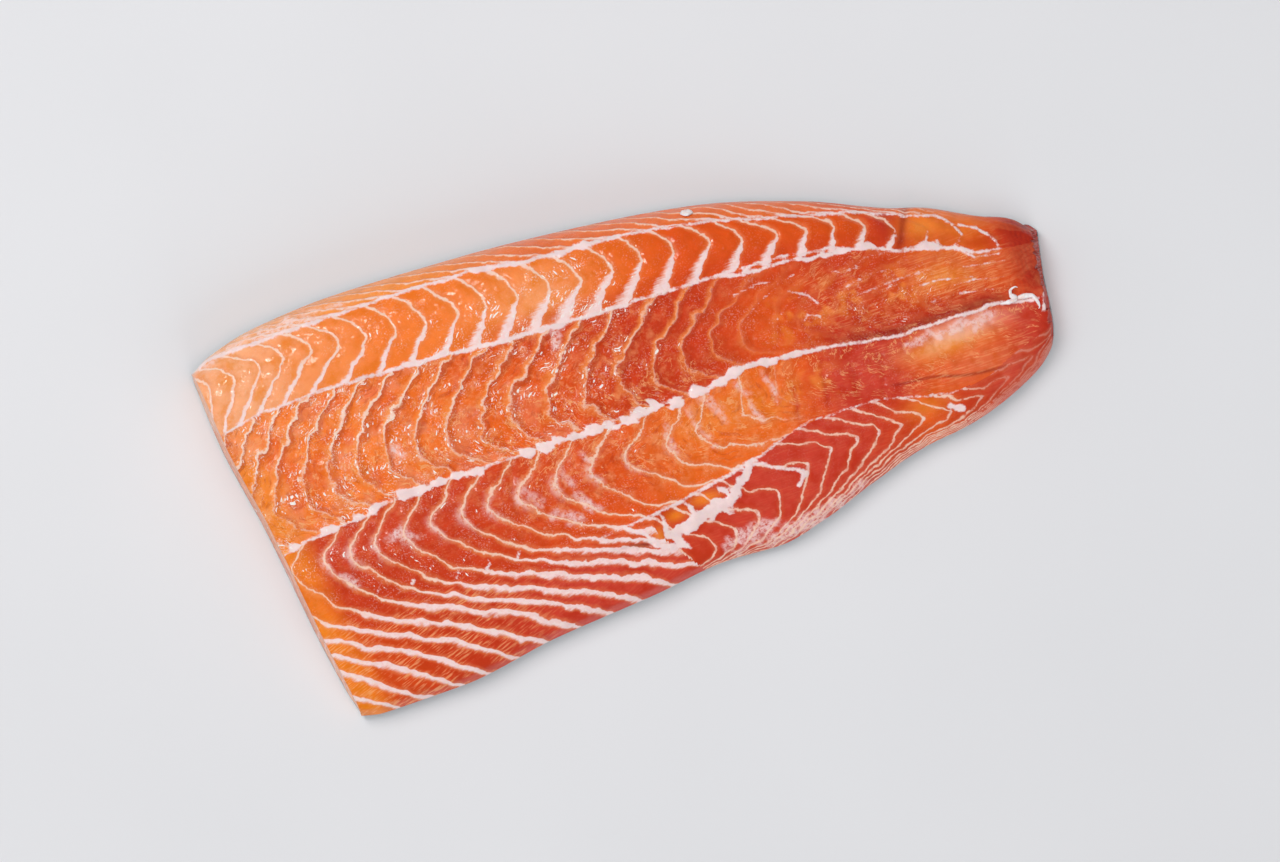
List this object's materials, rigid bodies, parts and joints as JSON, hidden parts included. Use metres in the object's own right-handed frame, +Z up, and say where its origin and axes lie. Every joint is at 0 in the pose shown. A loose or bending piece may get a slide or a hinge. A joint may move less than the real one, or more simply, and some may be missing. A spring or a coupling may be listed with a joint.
{
  "type": "salmon fillet",
  "caption": "Raw tail-end salmon fillet lying skin side down: thick rounded loin, thin belly edge, marbled orange flesh, a square head cut and a narrow blunt tail.",
  "frame": {"origin": "on the table, under the centre of the bounding box", "axes": "+X along the fish from the head cut to the tail, +Y across it towards the back (loin) edge, +Z up, out of the flesh side"},
  "size_m": [0.3178, 0.1542, 0.0279],
  "materials": {
    "flesh": "moist raw salmon flesh, orange to red, with pale fat lines; silver-grey skin underneath"
  },
  "bodies": {
    "root": {"fillet": "flesh"}
  },
  "joints": []
}
